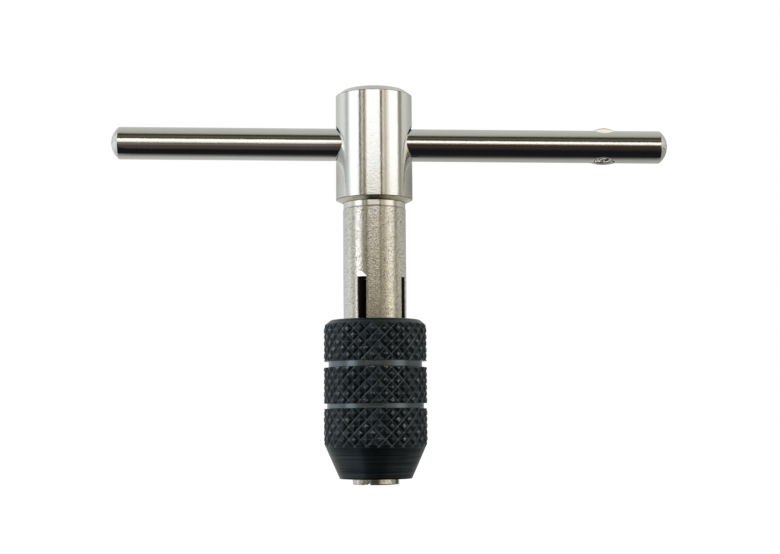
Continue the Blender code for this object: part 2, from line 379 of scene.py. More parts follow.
def span(value, over, to=(0.0, 1.0), smooth=False):
    """Maps one range of a signal to another, held at the ends."""
    inputs = dict(enumerate((value, *over, *to)))
    kind = "SMOOTHSTEP" if smooth else "LINEAR"
    return wire(value.tree, "ShaderNodeMapRange", inputs, interpolation_type=kind, clamp=True)


def near(offset, core, reach, peak=1.0):
    """The peak where the offset is within core of zero, fading to 0 at reach."""
    return span(abs(offset), over=(core, reach), to=(peak, 0.0))


MIX_SOCKETS = {"FLOAT": (2, 3, 0), "VECTOR": (4, 5, 1), "RGBA": (6, 7, 2)}  # two in, one out


def mix(factor, zero, one, kind="RGBA"):
    """zero where the factor is 0, one where it is 1."""
    zero_at, one_at, output = MIX_SOCKETS[kind]
    inputs = {0: factor, zero_at: zero, one_at: one}
    return wire(factor.tree, "ShaderNodeMix", inputs, output, data_type=kind)


def blend(factor, zero, one):
    return mix(factor, zero, one, kind="FLOAT")


def cover(base, coat, mask, strength):
    """Lays a coat over a base colour, at most as thick as the strength."""
    return mix(mask * strength, base, coat)


class Surface:
    """A material whose textures are laid out in the object's own millimetres."""

    def __init__(self, name):
        self.material = bpy.data.materials.new(name)
        self.material.use_nodes = True
        self.tree = self.material.node_tree
        self.tree.nodes.clear()
        self.place = scaled(coordinates(self.tree, "Object"), 1 / MM)
        self.x, self.y, self.z = components(self.place)

    def noise(self, scale, detail=2.0, roughness=0.5, stretch=None, distortion=0.0):
        vector = self.place
        if stretch:
            inputs = {0: vector, 1: stretch}
            vector = wire(self.tree, "ShaderNodeVectorMath", inputs, operation="MULTIPLY")
        inputs = {
            "Vector": vector,
            "Scale": scale,
            "Detail": detail,
            "Roughness": roughness,
            "Distortion": distortion,
        }
        return wire(self.tree, "ShaderNodeTexNoise", inputs)

    def attribute(self, name):
        props = {"attribute_name": name, "attribute_type": "GEOMETRY"}
        return wire(self.tree, "ShaderNodeAttribute", {}, "Fac", **props)

    def bump(self, height, distance):
        inputs = {"Height": height, "Distance": distance * MM, "Strength": 1.0}
        return wire(self.tree, "ShaderNodeBump", inputs)

    def finish(self, **inputs):
        """Adds the shader and its output; an underscore in a keyword stands for a space."""
        inputs = {key.replace("_", " "): value for key, value in inputs.items()}
        shader = wire(self.tree, "ShaderNodeBsdfPrincipled", inputs)
        add_node(self.tree, "ShaderNodeOutputMaterial", {0: shader})
        return self.material


# ------------------------------------------------------------------------------------------
# Materials
# ------------------------------------------------------------------------------------------
NOISE_RANGE = (0.3, 0.7)  # where most noise values lie
NICKEL = ((0.79, 0.785, 0.755), (0.84, 0.84, 0.82))  # the two tones of polished nickel


def head_pits(surface, fine, under):
    """Brown pits on the head, outside two clear stripes beside its middle."""
    left = near(surface.x + 2.40, core=0.55, reach=0.85)
    right = near(surface.x - 1.45, core=0.16, reach=0.30)
    pits = larger(left, right) * span(fine, over=(0.50, 0.60)) * (1.0 - under)
    return pits * span(surface.z, over=(-0.9, -1.1))


def painted_flank_shade(surface):
    """Painted shade on both flanks of the head below the cross hole and the bar, the right one
    (+X) more.
    """
    rise = span(surface.z, over=(-20.5, -15.7))
    flank = 6.35 + rise * rise * 1.75  # distance from the middle, wider higher up
    flank_shade = span(abs(surface.x) - flank, over=(-0.10, 0.12))
    flank_shade = flank_shade * span(surface.z, over=(-15.5, -15.9))
    flank_shade = flank_shade * span(surface.z, over=(HEAD_BOTTOM, HEAD_BOTTOM + 0.05))
    return flank_shade * span(surface.x, over=(-1.0, 1.0), to=(0.26, 0.50))


def turned_edges(surface):
    """Uneven lines where the head, cone, chamfer and neck end."""
    head = near(surface.z - (HEAD_BOTTOM - 0.03), core=0.05, reach=0.10)
    shoulder = near(surface.z - SHOULDER, core=0.06, reach=0.12)
    chamfer = near(surface.z + 1.16, core=0.05, reach=0.11, peak=0.85)
    neck = near(surface.z - NECK_BOTTOM, core=0.06, reach=0.14, peak=0.75)
    lines = larger(larger(larger(head, shoulder), chamfer), neck)
    return lines * span(surface.noise(scale=0.9, detail=1.0), over=(0.3, 0.6), to=(0.35, 0.85))


def painted_shade_inside(surface):
    """Painted shade, near black and matt, in the gap round the bar, the slots and the bore."""
    x, y, z = surface.x, surface.y, surface.z
    radius = root(x * x + y * y)
    from_hole = z - HOLE_Z
    hole = root(from_hole * from_hole + y * y)
    deep = span(hole, over=(HOLE_R + 0.10, HOLE_R + 0.03)) * span(z, over=(-20.0, -19.0))
    depth = radius - span(x, over=(4.5, 5.2), to=(0.0, 0.09))
    slots = span(depth, over=(SHANK_R - 0.14, SHANK_R - 0.30))
    slots = slots * span(z, over=(SLOT_TOP + 0.3, SLOT_TOP + 0.1))
    slots = slots * span(z, over=(-76.0, -75.0))
    return larger(deep, slots)


def slot_facet(surface):
    """A small facet on the front of the shank, above the left slot, painted near white as a
    highlight.
    """
    step = span(surface.z, over=(SLOT_TOP, SLOT_TOP + 1.05))
    limit = -1.75 - step * 1.05  # its slanting right side
    facet = span(surface.x - limit, over=(0.04, -0.04)) * span(surface.x, over=(-3.75, -3.55))
    facet = facet * span(surface.y, over=(0.0, -0.5))
    facet = facet * span(surface.z, over=(SLOT_TOP - 0.02, SLOT_TOP))
    return facet * span(surface.z, over=(SLOT_TOP + 1.10, SLOT_TOP + 1.00))


def nickel_spindle():
    """Bright polished head and satin shank with a faint brown cast, with painted shade in the
    openings and on the head's flanks below the bar.
    """
    surface = Surface("nickel_spindle")
    z = surface.z
    shank = span(z, over=(NECK_BOTTOM + 0.15, NECK_BOTTOM - 0.15))
    under = span(z, over=(HEAD_BOTTOM + 0.02, HEAD_BOTTOM - 0.02))
    cone = under * span(z, over=(SHOULDER - 0.01, SHOULDER + 0.03))
    neck = calc("SUBTRACT", under - cone, shank, clamp=True)
    wide = surface.noise(scale=0.35, detail=3.0)
    peel = surface.noise(scale=1.8, roughness=0.55)
    grain = surface.noise(scale=4.4, detail=2.5, roughness=0.65)
    fine = surface.noise(scale=5.5, roughness=0.6)
    rings = surface.noise(scale=1.0, roughness=0.6, stretch=(0.12, 0.12, 7.0))
    specks = span(fine, over=(0.578, 0.618)) * shank

    satin = mix(span(grain, over=(0.38, 0.62)), (0.64, 0.61, 0.545), (0.86, 0.84, 0.785))
    colour = mix(shank, mix(wide, *NICKEL), satin)
    colour = cover(colour, (0.13, 0.10, 0.065), mask=specks, strength=0.84)
    pits = head_pits(surface, fine, under)
    colour = cover(colour, (0.16, 0.13, 0.08), mask=pits, strength=0.36)
    colour = mix(cone, colour, (0.84, 0.79, 0.66))
    colour = mix(neck, colour, (0.80, 0.78, 0.73))
    # painted shade on the head's flanks below the bar
    colour = mix(painted_flank_shade(surface), colour, (0.36, 0.345, 0.30))
    colour = mix(turned_edges(surface), colour, (0.20, 0.16, 0.10))
    # painted shade: near black, matt and not metallic inside the openings
    dark = painted_shade_inside(surface)
    colour = mix(dark, colour, (0.030, 0.028, 0.020))
    # the facet's own normal tilts it; its near-white colour is a painted highlight
    facet = slot_facet(surface)
    colour = mix(facet, colour, (0.95, 0.95, 0.95))

    head_rough = span(grain, over=NOISE_RANGE, to=(0.018, 0.04))
    rough = blend(shank, head_rough, span(grain, over=NOISE_RANGE, to=(0.045, 0.11)))
    for zone, roughness in ((cone, 0.22), (neck, 0.08), (dark, 0.6)):
        rough = blend(zone, rough, roughness)

    # the factors weigh each texture's share of the relief
    head_height = peel * 0.36 + grain * 0.45
    shank_height = grain * 0.72 + rings * 0.30 - specks * 1.0
    relief = surface.bump(blend(shank, head_height, shank_height), distance=0.020)
    facet_normal = (-0.53, -0.845, 0.05)
    return surface.finish(
        Base_Color=colour,
        Metallic=blend(dark, 1.0, 0.0),
        Roughness=rough,
        Normal=mix(facet, relief, facet_normal, kind="VECTOR"),
        Specular_IOR_Level=blend(dark, 0.5, 0.0),
    )


def nickel_bar():
    """Polished bar; the torn metal of the ears is pale and matt, between dark lines, with painted
    shade in the hollows of its tearing.
    """
    surface = Surface("nickel_bar")
    wide = surface.noise(scale=0.25, detail=3.0)
    fine = surface.noise(scale=3.0, detail=2.5, roughness=0.6)
    grain = surface.noise(scale=5.0, roughness=0.6)
    along = surface.noise(scale=1.0, detail=3.0, roughness=0.6, stretch=(0.25, 6.0, 6.0))
    scratch = surface.noise(scale=1.0, stretch=(0.5, 2.5, 5.0), distortion=0.3)
    scratch = span(scratch, over=(0.72, 0.76))
    torn = surface.attribute("torn")
    line = surface.attribute("ear_line")
    is_torn = span(torn, over=(0.05, 0.25))
    ragged = span(torn, over=(0.5, 0.9))
    tearing = surface.noise(scale=2.6, roughness=0.6, stretch=(0.7, 1.0, 1.6), distortion=0.8)
    torn_highs = span(tearing, over=(0.50, 0.55))

    pale = mix(span(tearing, over=NOISE_RANGE), (0.88, 0.825, 0.745), (0.97, 0.935, 0.87))
    pale = mix(ragged, pale, (0.84, 0.80, 0.74))
    # painted shade, near black, in the hollows of the torn relief; the higher parts stay pale
    torn_metal_and_shade = mix(ragged * (1.0 - torn_highs), pale, (0.035, 0.025, 0.018))
    torn_metal_and_shade = cover(torn_metal_and_shade, (0.035, 0.028, 0.020), mask=line, strength=0.97)

    rough = span(fine, over=NOISE_RANGE, to=(0.04, 0.08)) + scratch * 0.10
    # the factors weigh each texture's share of the relief
    height = fine * 0.55 + along * 0.30 + grain * 0.30 + tearing * torn * 5.0
    return surface.finish(
        Base_Color=mix(is_torn, mix(wide, *NICKEL), torn_metal_and_shade),
        Metallic=blend(is_torn, 1.0, 0.25),
        Roughness=blend(is_torn, rough, 0.42),
        Normal=surface.bump(height, distance=0.012),
    )


def black_oxide():
    """Blue-black coat over steel: smooth where turned, matt in the knurl.

    The rims of the diamonds are worn to bare steel and painted brighter still as glints; a
    painted highlight runs along the bottoms of the cuts.
    """
    surface = Surface("black_oxide")
    band, valley_glint, rim_wear_and_glint = (surface.attribute(name) for name in ("knurl_band", "valley_glint", "rim_wear_and_glint"))
    wide = surface.noise(scale=0.5, detail=3.0)
    fine = surface.noise(scale=4.5, detail=3.0, roughness=0.6)
    lines = surface.noise(scale=1.0, roughness=0.6, stretch=(0.05, 0.05, 3.0))
    thin = surface.noise(scale=1.0, detail=1.0, stretch=(0.08, 0.08, 7.0))
    upper_middle = (UPPER_GROOVE[0] + UPPER_GROOVE[1]) / 2
    lower_middle = (LOWER_GROOVE[0] + LOWER_GROOVE[1]) / 2
    groove = larger(
        near(surface.z - upper_middle, core=0.60, reach=0.75),
        near(surface.z - lower_middle, core=0.50, reach=0.65),
    )
    marks = surface.noise(scale=1.0, detail=2.5, roughness=0.7, stretch=(0.04, 0.04, 4.2))
    marks = span(marks, over=(0.40, 0.66), to=(0.55, 1.9))
    spots = span(surface.noise(scale=2.2), over=(0.40, 0.58))

    turned = scaled(mix(wide, (0.026, 0.033, 0.037), (0.038, 0.046, 0.052)), marks)
    turned = mix(groove, turned, (0.135, 0.165, 0.19))
    knurled = mix(wide, (0.018, 0.0245, 0.029), (0.031, 0.041, 0.047))
    colour = mix(band, turned, knurled)
    # rims worn to bare steel, painted brighter as glints
    colour = cover(colour, (0.42, 0.43, 0.43), mask=rim_wear_and_glint * spots, strength=0.90)
    # painted highlight lines along the bottoms of the cuts
    colour = cover(colour, (0.24, 0.265, 0.28), mask=valley_glint, strength=0.85)

    groove_rough = span(fine, over=NOISE_RANGE, to=(0.12, 0.20))
    rough = blend(groove, span(fine, over=NOISE_RANGE, to=(0.25, 0.33)), groove_rough)
    # turning marks fade out in the knurl and mostly in the grooves
    plain = calc("SUBTRACT", 1.0 - band, groove * 0.75, clamp=True)
    height = fine * 0.8 + plain * (lines * 3.0 + thin * 2.2)
    return surface.finish(
        Base_Color=colour,
        Metallic=0.91,
        Roughness=rough - rim_wear_and_glint * spots * 0.10,
        Normal=surface.bump(height, distance=0.012),
    )


def simple_metal(name, colours, roughness, grain, relief):
    """A plain metal that varies between two colours and two roughnesses."""
    surface = Surface(name)
    fine = surface.noise(scale=grain, detail=3.0, roughness=0.6)
    return surface.finish(
        Base_Color=mix(surface.noise(scale=0.6), *colours),
        Metallic=1.0,
        Roughness=span(fine, over=NOISE_RANGE, to=roughness),
        Normal=surface.bump(fine, distance=relief),
    )


def ring_rubber():
    surface = Surface("ring_rubber")
    fine = surface.noise(scale=6.0, detail=3.0, roughness=0.6)
    return surface.finish(
        Base_Color=mix(fine, (0.012, 0.012, 0.012), (0.03, 0.03, 0.03)),
        Roughness=span(fine, over=NOISE_RANGE, to=(0.55, 0.8)),
        Normal=surface.bump(fine, distance=0.01),
    )


MAT_SPINDLE = nickel_spindle()
MAT_BAR = nickel_bar()
MAT_NUT = black_oxide()
MAT_BALL = simple_metal(
    "ball_steel", colours=((0.80, 0.80, 0.81), (0.86, 0.86, 0.87)),
    roughness=(0.03, 0.06), grain=4.0, relief=0.001,
)
MAT_SPRING = simple_metal(
    "spring_wire", colours=((0.42, 0.41, 0.40), (0.55, 0.54, 0.53)),
    roughness=(0.22, 0.36), grain=7.0, relief=0.004,
)
MAT_PLUG = simple_metal(
    "plug_face", colours=((0.74, 0.72, 0.67), (0.82, 0.80, 0.76)),
    roughness=(0.16, 0.28), grain=3.0, relief=0.006,
)
MAT_RUBBER = ring_rubber()


# ------------------------------------------------------------------------------------------
# Spindle: head, neck and shank, with the rounded lip of the cross hole
# ------------------------------------------------------------------------------------------
CUTTER_SEGMENTS = 120
SPINDLE_SEGMENTS = 192
LIP_R, LIP_R_SIDE = 0.22, 0.34  # lip radius above and below the hole; added at its sides
LIP_STEPS = (0.0, 0.2, 0.4, 0.6, 0.82)  # places along the lip's curve


def flared_mouth(side):
    """Cutter rings at the mouth on one side (-1 or 1 in X), from inside the hole outward."""
    rings = [[] for _ in range(len(LIP_STEPS) + 2)]
    inward = np.array((-1.0, 0, 0))
    for j in range(CUTTER_SEGMENTS):
        angle = FULL_TURN * j / CUTTER_SEGMENTS
        y = HOLE_R * math.cos(angle)
        x = math.sqrt(HEAD_R**2 - y * y)
        corner = np.array((x, y, HOLE_Z + HOLE_R * math.sin(angle)))
        normal = np.array((x, y, 0)) / HEAD_R
        outward = np.array((0, math.cos(angle), math.sin(angle)))
        along = outward - (outward @ normal) * normal
        along /= np.linalg.norm(along)
        wedge = math.acos(max(-1, min(1, along @ inward)))
        reach = (LIP_R + LIP_R_SIDE * math.cos(angle) ** 2) / math.tan(wedge / 2)
        start = corner + inward * reach
        end = corner + along * reach
        end[:2] *= HEAD_R / math.hypot(end[0], end[1])
        points = [
            (1 - s) ** 2 * start + 2 * s * (1 - s) * corner + s * s * end for s in LIP_STEPS
        ]
        beyond = end + (end - points[-1]) * 1.2
        points += [beyond, beyond + normal * 2.0]
        for ring, point in zip(rings, points):
            ring.append(point * (side, 1, 1))
    return rings


def hole_cutter():
    """Cuts the cross hole; its mouths flare over the hole's edge to leave a rounded lip."""
    verts, faces = grid(flared_mouth(-1)[::-1] + flared_mouth(1), caps=True)
    return make("hole_cutter", verts, faces)


def build_spindle():
    pocket_r = plug_high[0] + PLUG_CLEARANCE
    pocket_floor = plug_low[2] - 0.05
    groove_r = NECK_R - NECK_GROOVE_DEPTH
    # (radius, z, corner radius), from the detent bore up, over the head and down to the bore
    profile = [
        (0.0, DETENT_BORE_END, 0),
        (DETENT_BORE_R, DETENT_BORE_END, 0),
        (DETENT_BORE_R, pocket_floor, 0),
        (pocket_r, pocket_floor, 0),
        (pocket_r, -0.06, 0),
        (plug_high[0] + 0.10, 0.0, 0),
        (HEAD_R - HEAD_CHAMFER_R, 0.0, 0.10),
        (HEAD_R, -HEAD_CHAMFER_Z, 0.10),
        (HEAD_R, HEAD_BOTTOM, 0.06),
        (NECK_R, SHOULDER, 0.06),
        (NECK_R, NECK_BOTTOM + 0.22, 0.05),
        (groove_r, NECK_BOTTOM + 0.14, 0.03),
        (groove_r, NECK_BOTTOM + 0.04, 0.03),
        (SHANK_R, NECK_BOTTOM - 0.08, 0.05),
        (SHANK_R, SLOT_TOP, 0),
        (BORE_R, SLOT_TOP, 0),
        (BORE_R, BORE_TOP, 0.2),
        (0.0, BORE_TOP + BORE_R / math.tan(BORE_POINT_ANGLE), 0),
    ]
    outline = subdivide(fillet(profile), step=0.7, low=HEAD_BOTTOM, high=-HEAD_CHAMFER_Z)
    spindle = make("spindle", *revolve(outline, SPINDLE_SEGMENTS), MAT_SPINDLE)
    cutter = hole_cutter()
    cut = spindle.modifiers.new("cross_hole", "BOOLEAN")
    cut.operation = "DIFFERENCE"
    cut.object = cutter
    cut.solver = "EXACT"
    bake(spindle)
    bpy.data.objects.remove(cutter)
    # the cut may leave an empty slot for the cutter
    spindle.data.materials.clear()
    spindle.data.materials.append(MAT_SPINDLE)
    shade(spindle.data, sharp=32)
    weight_normals(spindle)
    assign(spindle, rides="spindle", replaces="spindle_body")


# ------------------------------------------------------------------------------------------
# Collet fingers: each blends into the shank at its root, so it bends and has no hinge
# ------------------------------------------------------------------------------------------
FINGERS = 4
FIRST_FINGER_ANGLE = 20.0 - 90.0  # degrees
OUTER_POINTS, INNER_POINTS = 34, 16
FINGER_EDGE = 0.13  # chamfer between the outside and the slot faces
NOSE_BLEND = 0.6  # height over which the thread root widens to the nose
TIP_SWELL = 0.08
TIP_ROUND = 0.28
TIP_SLOT_OPENING = 0.20  # added to half the slot at the tips
TIP_LIP, TIP_LIP_HEIGHT = 0.25, 0.30  # the jaws flare at the tip
JAW_BLEND = 1.0  # height over which the bore turns into the jaws


def thread_height(phase):
    """0 at the root and 1 at the crest of a thread with flats, against a phase in turns."""
    from_crest = np.abs(np.mod(phase, 1.0) - 0.5) * 2
    return np.clip((0.90 - from_crest) / 0.70, 0, 1)


def radius_below_thread(z):
    if z > NOSE_Z + NOSE_BLEND:
        return THREAD_ROOT_R
    if z > NOSE_Z:
        share = smoothstep((NOSE_Z + NOSE_BLEND - z) / NOSE_BLEND)
        return THREAD_ROOT_R + (NOSE_R - THREAD_ROOT_R) * share
    if z > TAPER_Z:
        return TIP_R + (z - TAPER_Z) * math.tan(TAPER)
    above_tip = z - TIP_Z
    if above_tip < TIP_ROUND:
        across = math.sqrt(max(0.0, TIP_ROUND**2 - (TIP_ROUND - above_tip) ** 2))
        return TIP_R + TIP_SWELL - TIP_ROUND + across
    return TIP_R + TIP_SWELL * smoothstep((TAPER_Z - z) / 0.4)


def finger_outer(angle, z):
    """Outer radius, before bending, at angles round the spindle."""
    below_start = THREAD_TOP + THREAD_LEAD - z
    if z > THREAD_TOP + THREAD_LEAD:
        return np.full_like(angle, SHANK_R)
    if z <= THREAD_BOTTOM:
        return np.full_like(angle, radius_below_thread(z))
    start = smoothstep(below_start / 0.9)
    end = smoothstep((z - THREAD_BOTTOM) / 0.6)
    crest = THREAD_R - (THREAD_R - SHANK_R) * (1 - smoothstep(below_start / THREAD_LEAD))
    depth = THREAD_DEPTH * start * end
    return crest - depth * (1 - thread_height(z / PITCH - angle / FULL_TURN))


def finger_heights():
    """Heights of the sections, closest together over the thread, the nose and the tip."""
    tip_angles = np.radians((0, 15, 30, 45, 60, 75, 90))
    heights = [
        SLOT_TOP,
        *np.linspace(SLOT_TOP - 0.8, THREAD_TOP + 0.5, 18),
        *np.arange(THREAD_TOP + THREAD_LEAD, THREAD_BOTTOM, -PITCH / 9),
        *(THREAD_BOTTOM, THREAD_BOTTOM - 0.05, THREAD_BOTTOM - 1.5, NOSE_Z + 1.2),
        *np.linspace(NOSE_Z + NOSE_BLEND, NOSE_Z, 7),
        *(JAW_TOP + JAW_BLEND, JAW_TOP + 0.5, JAW_TOP),
        *(NOSE_Z - 0.05, -80.0, TAPER_Z + 0.05, TAPER_Z, TIP_Z + 1.6),
        *(TIP_Z + TIP_ROUND - TIP_ROUND * np.sin(tip_angles)),
    ]
    return sorted({round(float(z), 5) for z in heights}, reverse=True)


def finger_loop(z, turn):
    """A closed section before bending, in the finger's own frame with +X outward."""
    opening = TIP_SLOT_OPENING * float(smoothstep((TAPER_Z + 0.4 - z) / 1.4))
    slot_half = SLOT_WIDTH / 2 + opening

    def reach(radius):
        """Angle from the finger's middle to its slot face."""
        return math.radians(45) - math.asin(slot_half / radius)

    def polar(radius, angle):
        return radius * math.cos(angle), radius * math.sin(angle)

    # outer arc, from -Y to +Y
    middle_r = float(finger_outer(np.array([turn]), z)[0])
    limit = reach(middle_r) - FINGER_EDGE / middle_r
    sweep = np.linspace(-limit, limit, OUTER_POINTS)
    radii = finger_outer(sweep + turn, z)
    loop = [polar(radius, angle) for radius, angle in zip(radii, sweep)]

    # inside: the bore turns into a flat jaw
    jaw = float(np.clip((JAW_TOP + JAW_BLEND - z) / JAW_BLEND, 0, 1))
    lip = TIP_LIP * float(np.clip((TIP_Z + TIP_LIP_HEIGHT - z) / TIP_LIP_HEIGHT, 0, 1))
    jaw_x = JAW_HALF + lip
    jaw_y = JAW_HALF - SLOT_WIDTH / math.sqrt(2) - 0.05 + lip
    bore_limit = reach(BORE_R) - 0.5 * FINGER_EDGE / BORE_R
    inner = []
    for k in range(INNER_POINTS):
        across = 1 - 2 * k / (INNER_POINTS - 1)
        bore = np.array(polar(BORE_R, across * bore_limit))
        pad = np.array((jaw_x, across * jaw_y))
        inner.append(tuple(bore * (1 - jaw) + pad * jaw))

    edge_r = float(radii[-1]) - FINGER_EDGE
    corner_r = BORE_R * (1 - jaw) + math.hypot(jaw_x, jaw_y) * jaw + 0.07
    edge_angle, corner_angle = reach(edge_r), reach(corner_r)
    loop += [polar(edge_r, edge_angle), polar(corner_r, corner_angle)]
    loop += inner
    loop += [polar(corner_r, -corner_angle), polar(edge_r, -edge_angle)]
    return loop


def bent_row(z, turn):
    """The section bent inward about the root and placed round the spindle."""
    bend = REST_BEND * float(smoothstep((SLOT_TOP - z) / (SLOT_TOP - BEND_END)))
    row = []
    for x, y in finger_loop(z, turn):
        out, up = x - BEND_R, z - SLOT_TOP
        bent_x = BEND_R + math.cos(bend) * out + math.sin(bend) * up
        bent_z = SLOT_TOP - math.sin(bend) * out + math.cos(bend) * up
        placed_x = bent_x * math.cos(turn) - y * math.sin(turn)
        row.append((placed_x, bent_x * math.sin(turn) + y * math.cos(turn), bent_z))
    return row


def build_finger(index):
    turn = math.radians(FIRST_FINGER_ANGLE + 360.0 / FINGERS * index)
    name = f"finger_{index + 1}"
    rows = [bent_row(z, turn) for z in finger_heights()]
    finger = make(name, *grid(rows, caps=True), MAT_SPINDLE, sharp=28)
    weight_normals(finger)
    bake(finger)
    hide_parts(f"collet_{name}")
    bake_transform(finger)


# ------------------------------------------------------------------------------------------
# Chuck nut: diamond knurl, two grooves, turned cone, inner cone and thread
# ------------------------------------------------------------------------------------------
KNURL_STEPS = 16  # mesh steps per diamond, both ways
NUT_SEED = 11
# (distance below the top face, largest radius) of the rounded chamfer at the top
TOP_CHAMFER = ((0.0, 9.56), (0.96, 10.72), (1.65, 10.93), (2.2, 12.0))
NUT_NOSE_BORE, NUT_CONE_BOTTOM, NUT_CONE_RISE = 5.54, -80.10, 1.67
NUT_RELIEF_R = 7.90  # clearance between the inner cone and the thread
NUT_BORE_R = 7.22
NUT_THREAD_BOTTOM, NUT_THREAD_TOP = -67.8, -54.2
NUT_THREAD_DEPTH, NUT_THREAD_FADE = 0.17, 0.8
RING_GROOVE_R = 8.0


class Knurl:
    """The diamond pattern: two crossing sets of cuts, each cut a little off its place."""

    def __init__(self, angle):
        self.angle = angle
        rng = np.random.default_rng(NUT_SEED)
        self.shift = [rng.normal(0, 0.022, 64) for _ in range(2)]
        self.shallow = [rng.normal(0, 0.030, 64) for _ in range(2)]
        self.glint = [
            np.clip(rng.normal(0.30, 0.22, 64), 0.0, 1.0),
            np.clip(rng.normal(0.70, 0.30, 64), 0.1, 1.0),
        ]
        self.top_glint = np.clip(rng.normal(0.55, 0.35, (64, 64)), 0.0, 1.0)

    def at(self, z):
        """Height, 0 at the bottoms of the cuts and 1 on the crests, and the painted highlights
        along the bottoms of the cuts and on the rims.
        """
        around = self.angle * KNURLS / FULL_TURN
        down = (z + 60.0) / KNURL_HEIGHT
        depths, valley_glints, cells = [], [], []
        sets = zip((around + down, around - down), self.shift, self.shallow, self.glint)
        for phase, shift, shallow, glint in sets:
            cut = np.round(phase).astype(int) % KNURLS
            cells.append(np.floor(phase).astype(int) % KNURLS)
            phase = phase + shift[cut]
            from_cut = 2 * np.abs(phase - np.round(phase))
            depths.append(from_cut + shallow[cut])
            # a painted highlight along the bottom of each cut, its strength random per cut
            valley_glints.append(np.clip(1 - from_cut / 0.10, 0, 1) * glint[cut])
        raw = np.minimum(*depths)
        height = np.clip((raw - 0.05) / (0.74 - 0.05), 0, 1)
        rim_wear_and_glint = np.clip(1 - np.abs(raw - 0.76) / 0.14, 0, 1) * self.top_glint[cells[0], cells[1]]
        return height, np.maximum(*valley_glints), rim_wear_and_glint


def cone_r(z):
    """Radius of the nut's outer cone."""
    slope = NUT_R + 0.04 - NUT_NOSE_R
    return NUT_NOSE_R + (z - NUT_BOTTOM) * slope / (CONE_TOP - NUT_BOTTOM)


class NutRows(RingRows):
    def __init__(self):
        super().__init__(KNURLS * KNURL_STEPS, ("knurl", "knurl_band", "valley_glint", "rim_wear_and_glint"))
        self.angle = 2 * math.pi * np.arange(self.count) / self.count
        self.pattern = Knurl(self.angle)

    def ring(self, radius, z, **values):
        self.add(radius * np.cos(self.angle), radius * np.sin(self.angle), z, **values)

    def plain(self, radius, z):
        self.ring(radius, z, knurl=0.5)

    def cut(self, z, radius):
        """A knurled ring, held inside the top chamfer and the cone."""
        height, valley_glint, rim_wear_and_glint = self.pattern.at(z)
        cut_r = radius - KNURL_DEPTH * (1 - height)
        depths, chamfer_radii = zip(*TOP_CHAMFER)
        limit = min(float(np.interp(NUT_TOP - z, depths, chamfer_radii)), cone_r(z) + 0.10)
        band = (cut_r < limit).astype(float)
        # painted glints on the rims, brightest just below the top chamfer
        chamfer_glint = float(np.clip(1 - abs(z - (NUT_TOP - 1.25)) / 0.38, 0, 1))
        rim_wear_and_glint = np.maximum(rim_wear_and_glint, chamfer_glint * np.clip(1 - np.abs(height - 0.75) / 0.3, 0, 1))
        values = {"knurl": height, "knurl_band": band, "valley_glint": valley_glint * band, "rim_wear_and_glint": rim_wear_and_glint * band}
        self.ring(np.minimum(cut_r, limit), z, **values)

    def band(self, top, bottom, radius):
        count = max(2, int(round((top - bottom) / (KNURL_HEIGHT / KNURL_STEPS))) + 1)
        for z in np.linspace(top, bottom, count):
            self.cut(float(z), radius)

    def groove(self, top, bottom, radius):
        self.plain(radius + 0.06, top - 0.03)
        self.plain(radius, top - 0.10)
        self.plain(radius, (top + bottom) / 2)
        self.plain(radius, bottom + 0.10)
        self.plain(radius + 0.06, bottom + 0.03)


def nut_outside(nut):
    """Rings from the top face down to the bottom face."""
    for radius in (7.60, 8.5, 9.49):
        nut.plain(radius, NUT_TOP)
    for depth in (0.04, 0.14, 0.28, 0.44, 0.62, 0.80, 0.98):
        nut.cut(NUT_TOP - depth, NUT_R + 0.02)
    nut.band(NUT_TOP - 1.12, UPPER_GROOVE[0], NUT_R + 0.02)
    nut.groove(*UPPER_GROOVE)
    nut.band(UPPER_GROOVE[1], LOWER_GROOVE[0], NUT_R + 0.04)
    nut.groove(*LOWER_GROOVE)
    nut.band(LOWER_GROOVE[1], CONE_TOP - 1.50, NUT_R + 0.06)
    for z in np.linspace(CONE_TOP - 2.1, NUT_BOTTOM + 0.10, 9):
        nut.plain(cone_r(z) + 0.10, z)
    nut.plain(cone_r(NUT_BOTTOM) + 0.11, NUT_BOTTOM + 0.04)
    nut.plain(cone_r(NUT_BOTTOM) + 0.04, NUT_BOTTOM)


def nut_inside(nut):
    """Rings from the bottom face up: nose bore, cone, relief, thread and ring groove."""
    top_r = NUT_NOSE_BORE + NUT_CONE_RISE
    cone_end = NUT_CONE_BOTTOM + (top_r - NUT_NOSE_BORE) / math.tan(TAPER)
    for radius, z in (
        (6.6, NUT_BOTTOM),
        (NUT_NOSE_BORE + 0.2, NUT_BOTTOM),
        (NUT_NOSE_BORE, NUT_BOTTOM + 0.20),
        (NUT_NOSE_BORE, NUT_CONE_BOTTOM),
        (top_r, cone_end),
        (NUT_RELIEF_R, cone_end + 0.45),
        (NUT_RELIEF_R, -68.5),
    ):
        nut.plain(radius, z)
    for z in np.arange(NUT_THREAD_BOTTOM, NUT_THREAD_TOP, PITCH / 4):
        fade = smoothstep((z - NUT_THREAD_BOTTOM) / NUT_THREAD_FADE)
        fade = fade * smoothstep((NUT_THREAD_TOP - z) / NUT_THREAD_FADE)
        thread = thread_height(z / PITCH - nut.angle / (2 * math.pi) + 0.5)
        nut.plain(NUT_BORE_R - NUT_THREAD_DEPTH * fade * thread, z)
    for radius, z in (
        (NUT_BORE_R, -54.0),
        (NUT_BORE_R, -52.3),
        (RING_GROOVE_R, -52.25),
        (RING_GROOVE_R, -51.05),
        (NUT_BORE_R, -51.0),
        (NUT_BORE_R, NUT_TOP - 0.40),
    ):
        nut.plain(radius, z)


